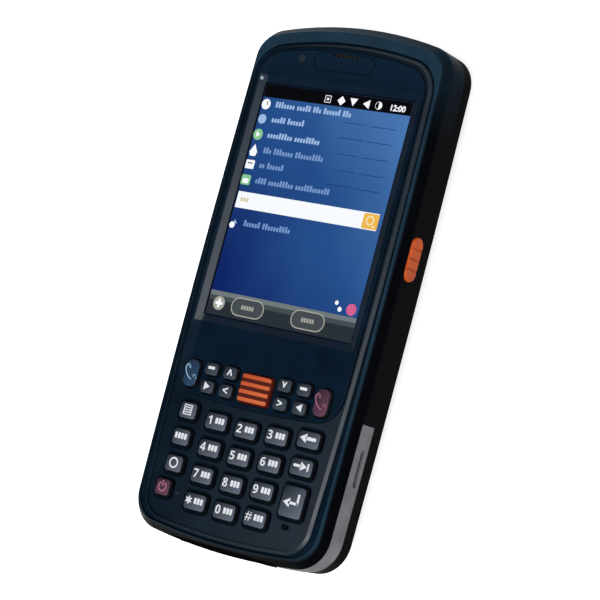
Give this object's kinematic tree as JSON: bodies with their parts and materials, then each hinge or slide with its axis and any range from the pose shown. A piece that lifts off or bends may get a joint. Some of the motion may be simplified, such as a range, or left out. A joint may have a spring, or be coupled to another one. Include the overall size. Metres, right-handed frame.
{
  "type": "portable barcode data terminal",
  "caption": "Rugged hand-held barcode terminal with touch display, cursor cluster, numeric keypad, side scan buttons and rear battery pack.",
  "frame": {"origin": "middle of the flat back face, which the terminal lies on, in the middle of its length and width", "axes": "+Z out of the display, +Y towards the scanning end, +X towards the right-hand side wall"},
  "size_m": [0.0738, 0.1586, 0.0276],
  "materials": {
    "housing_navy": "fine satin, blue-black",
    "panel_navy": "satin, blue-black",
    "rear_black": "fine grain, black",
    "guard_grey": "satin, light grey",
    "touch_film": "gloss over the lit display",
    "display_metal": "plain frame of the display module",
    "silicone": "soft, dark",
    "board_green": "lacquered board",
    "connector_black": "moulded, black",
    "connector_metal": "stamped shell",
    "contact_gold": "gold plated",
    "scan_glass": "dark red filter pane",
    "module_black": "moulded, black",
    "grille_black": "moulded, black",
    "light_lens": "smoked lens",
    "sensor_lens": "clear lens",
    "screw_steel": "blackened steel",
    "pack_black": "fine grain, black",
    "cell_foil": "foil wrap",
    "latch_grey": "ribbed, grey",
    "orange": "satin, orange",
    "key_grey": "lacquered, graphite grey",
    "key_red": "lacquered, dark red",
    "legend_white": "printed ink, white",
    "screen_picture": "lit picture on the display",
    "key_blue": "lacquered, steel blue"
  },
  "bodies": {
    "housing": {"front_cover": "housing_navy", "front_fascia": "panel_navy", "screen_bezel": "panel_navy", "touch_panel": "touch_film", "lcd_module": "display_metal", "keypad_mat": "silicone", "main_board": "board_green", "rear_housing": "rear_black", "side_guard_left": "guard_grey", "side_guard_right": "guard_grey", "dock_connector": "connector_black", "scan_window": "scan_glass", "scan_engine": "module_black", "receiver_grille": "grille_black", "receiver": "module_black", "status_lights": "light_lens", "light_sensor": "sensor_lens", "loudspeaker": "module_black", "camera_module": "module_black", "housing_seal": "silicone", "housing_screws": "screw_steel", "battery_contacts": "contact_gold", "side_connector": "connector_metal"},
    "battery": {"battery_pack": "pack_black", "battery_cell": "cell_foil"},
    "battery_latch": {"battery_latch": "latch_grey"},
    "volume_rocker": {"volume_rocker": "rear_black"},
    "port_cover": {"port_cover": "silicone"},
    "scan_button_right": {"scan_button_right": "orange"},
    "scan_button_left": {"scan_button_left": "orange"},
    "key_select": {"key_select": "orange"},
    "key_end": {"key_end": "key_red"},
    "key_call": {"key_call": "key_blue"},
    "key_right_outer_lower": {"key_right_outer_lower": "key_grey"},
    "key_right_outer_upper": {"key_right_outer_upper": "key_grey"},
    "key_right_inner_lower": {"key_right_inner_lower": "key_grey"},
    "key_right_inner_upper": {"key_right_inner_upper": "key_grey"},
    "key_left_outer_lower": {"key_left_outer_lower": "key_grey"},
    "key_left_outer_upper": {"key_left_outer_upper": "key_grey"},
    "key_left_inner_lower": {"key_left_inner_lower": "key_grey"},
    "key_left_inner_upper": {"key_left_inner_upper": "key_grey"},
    "key_symbol": {"key_symbol": "key_grey"},
    "key_1": {"key_1": "key_grey"},
    "key_2": {"key_2": "key_grey"},
    "key_3": {"key_3": "key_grey"},
    "key_back": {"key_back": "key_grey"},
    "key_mode": {"key_mode": "key_grey"},
    "key_4": {"key_4": "key_grey"},
    "key_5": {"key_5": "key_grey"},
    "key_6": {"key_6": "key_grey"},
    "key_tab": {"key_tab": "key_grey"},
    "key_ring": {"key_ring": "key_grey"},
    "key_7": {"key_7": "key_grey"},
    "key_8": {"key_8": "key_grey"},
    "key_9": {"key_9": "key_grey"},
    "key_star": {"key_star": "key_grey"},
    "key_0": {"key_0": "key_grey"},
    "key_hash": {"key_hash": "key_grey"},
    "key_enter": {"key_enter": "key_grey"},
    "key_power": {"key_power": "key_red"}
  },
  "joints": [
    {"name": "battery_lift", "type": "slide", "parent": "housing", "child": "battery", "axis": [0, 0, -1], "range_m": [0, 0.02]},
    {"name": "latch_slide", "type": "slide", "parent": "housing", "child": "battery_latch", "axis": [0, 1, 0], "range_m": [0, 0.0024], "stiffness_N_per_m": 250},
    {"name": "volume_rock", "type": "hinge", "parent": "housing", "child": "volume_rocker", "pos_m": [-0.0327, 0.046, 0.0192], "axis": [0, 0, 1], "range_deg": [-2, 2], "stiffness_Nm_per_rad": 0.2},
    {"name": "port_cover_swing", "type": "hinge", "parent": "housing", "child": "port_cover", "pos_m": [-0.03535, -0.0193, 0.0192], "axis": [0, 0, 1], "range_deg": [0, 100]},
    {"name": "scan_button_right_press", "type": "slide", "parent": "housing", "child": "scan_button_right", "axis": [-1, 0, 0], "range_m": [0, 0.0006], "stiffness_N_per_m": 600},
    {"name": "scan_button_left_press", "type": "slide", "parent": "housing", "child": "scan_button_left", "axis": [1, 0, 0], "range_m": [0, 0.0006], "stiffness_N_per_m": 600},
    {"name": "key_select_press", "type": "slide", "parent": "housing", "child": "key_select", "axis": [0, 0, -1], "range_m": [0, 0.0005], "stiffness_N_per_m": 600},
    {"name": "key_end_press", "type": "slide", "parent": "housing", "child": "key_end", "axis": [0, 0, -1], "range_m": [0, 0.0005], "stiffness_N_per_m": 600},
    {"name": "key_call_press", "type": "slide", "parent": "housing", "child": "key_call", "axis": [0, 0, -1], "range_m": [0, 0.0005], "stiffness_N_per_m": 600},
    {"name": "key_right_outer_lower_press", "type": "slide", "parent": "housing", "child": "key_right_outer_lower", "axis": [0, 0, -1], "range_m": [0, 0.0005], "stiffness_N_per_m": 600},
    {"name": "key_right_outer_upper_press", "type": "slide", "parent": "housing", "child": "key_right_outer_upper", "axis": [0, 0, -1], "range_m": [0, 0.0005], "stiffness_N_per_m": 600},
    {"name": "key_right_inner_lower_press", "type": "slide", "parent": "housing", "child": "key_right_inner_lower", "axis": [0, 0, -1], "range_m": [0, 0.0005], "stiffness_N_per_m": 600},
    {"name": "key_right_inner_upper_press", "type": "slide", "parent": "housing", "child": "key_right_inner_upper", "axis": [0, 0, -1], "range_m": [0, 0.0005], "stiffness_N_per_m": 600},
    {"name": "key_left_outer_lower_press", "type": "slide", "parent": "housing", "child": "key_left_outer_lower", "axis": [0, 0, -1], "range_m": [0, 0.0005], "stiffness_N_per_m": 600},
    {"name": "key_left_outer_upper_press", "type": "slide", "parent": "housing", "child": "key_left_outer_upper", "axis": [0, 0, -1], "range_m": [0, 0.0005], "stiffness_N_per_m": 600},
    {"name": "key_left_inner_lower_press", "type": "slide", "parent": "housing", "child": "key_left_inner_lower", "axis": [0, 0, -1], "range_m": [0, 0.0005], "stiffness_N_per_m": 600},
    {"name": "key_left_inner_upper_press", "type": "slide", "parent": "housing", "child": "key_left_inner_upper", "axis": [0, 0, -1], "range_m": [0, 0.0005], "stiffness_N_per_m": 600},
    {"name": "key_symbol_press", "type": "slide", "parent": "housing", "child": "key_symbol", "axis": [0, 0, -1], "range_m": [0, 0.0005], "stiffness_N_per_m": 600},
    {"name": "key_1_press", "type": "slide", "parent": "housing", "child": "key_1", "axis": [0, 0, -1], "range_m": [0, 0.0005], "stiffness_N_per_m": 600},
    {"name": "key_2_press", "type": "slide", "parent": "housing", "child": "key_2", "axis": [0, 0, -1], "range_m": [0, 0.0005], "stiffness_N_per_m": 600},
    {"name": "key_3_press", "type": "slide", "parent": "housing", "child": "key_3", "axis": [0, 0, -1], "range_m": [0, 0.0005], "stiffness_N_per_m": 600},
    {"name": "key_back_press", "type": "slide", "parent": "housing", "child": "key_back", "axis": [0, 0, -1], "range_m": [0, 0.0005], "stiffness_N_per_m": 600},
    {"name": "key_mode_press", "type": "slide", "parent": "housing", "child": "key_mode", "axis": [0, 0, -1], "range_m": [0, 0.0005], "stiffness_N_per_m": 600},
    {"name": "key_4_press", "type": "slide", "parent": "housing", "child": "key_4", "axis": [0, 0, -1], "range_m": [0, 0.0005], "stiffness_N_per_m": 600},
    {"name": "key_5_press", "type": "slide", "parent": "housing", "child": "key_5", "axis": [0, 0, -1], "range_m": [0, 0.0005], "stiffness_N_per_m": 600},
    {"name": "key_6_press", "type": "slide", "parent": "housing", "child": "key_6", "axis": [0, 0, -1], "range_m": [0, 0.0005], "stiffness_N_per_m": 600},
    {"name": "key_tab_press", "type": "slide", "parent": "housing", "child": "key_tab", "axis": [0, 0, -1], "range_m": [0, 0.0005], "stiffness_N_per_m": 600},
    {"name": "key_ring_press", "type": "slide", "parent": "housing", "child": "key_ring", "axis": [0, 0, -1], "range_m": [0, 0.0005], "stiffness_N_per_m": 600},
    {"name": "key_7_press", "type": "slide", "parent": "housing", "child": "key_7", "axis": [0, 0, -1], "range_m": [0, 0.0005], "stiffness_N_per_m": 600},
    {"name": "key_8_press", "type": "slide", "parent": "housing", "child": "key_8", "axis": [0, 0, -1], "range_m": [0, 0.0005], "stiffness_N_per_m": 600},
    {"name": "key_9_press", "type": "slide", "parent": "housing", "child": "key_9", "axis": [0, 0, -1], "range_m": [0, 0.0005], "stiffness_N_per_m": 600},
    {"name": "key_star_press", "type": "slide", "parent": "housing", "child": "key_star", "axis": [0, 0, -1], "range_m": [0, 0.0005], "stiffness_N_per_m": 600},
    {"name": "key_0_press", "type": "slide", "parent": "housing", "child": "key_0", "axis": [0, 0, -1], "range_m": [0, 0.0005], "stiffness_N_per_m": 600},
    {"name": "key_hash_press", "type": "slide", "parent": "housing", "child": "key_hash", "axis": [0, 0, -1], "range_m": [0, 0.0005], "stiffness_N_per_m": 600},
    {"name": "key_enter_press", "type": "slide", "parent": "housing", "child": "key_enter", "axis": [0, 0, -1], "range_m": [0, 0.0005], "stiffness_N_per_m": 600},
    {"name": "key_power_press", "type": "slide", "parent": "housing", "child": "key_power", "axis": [0, 0, -1], "range_m": [0, 0.0005], "stiffness_N_per_m": 600}
  ]
}
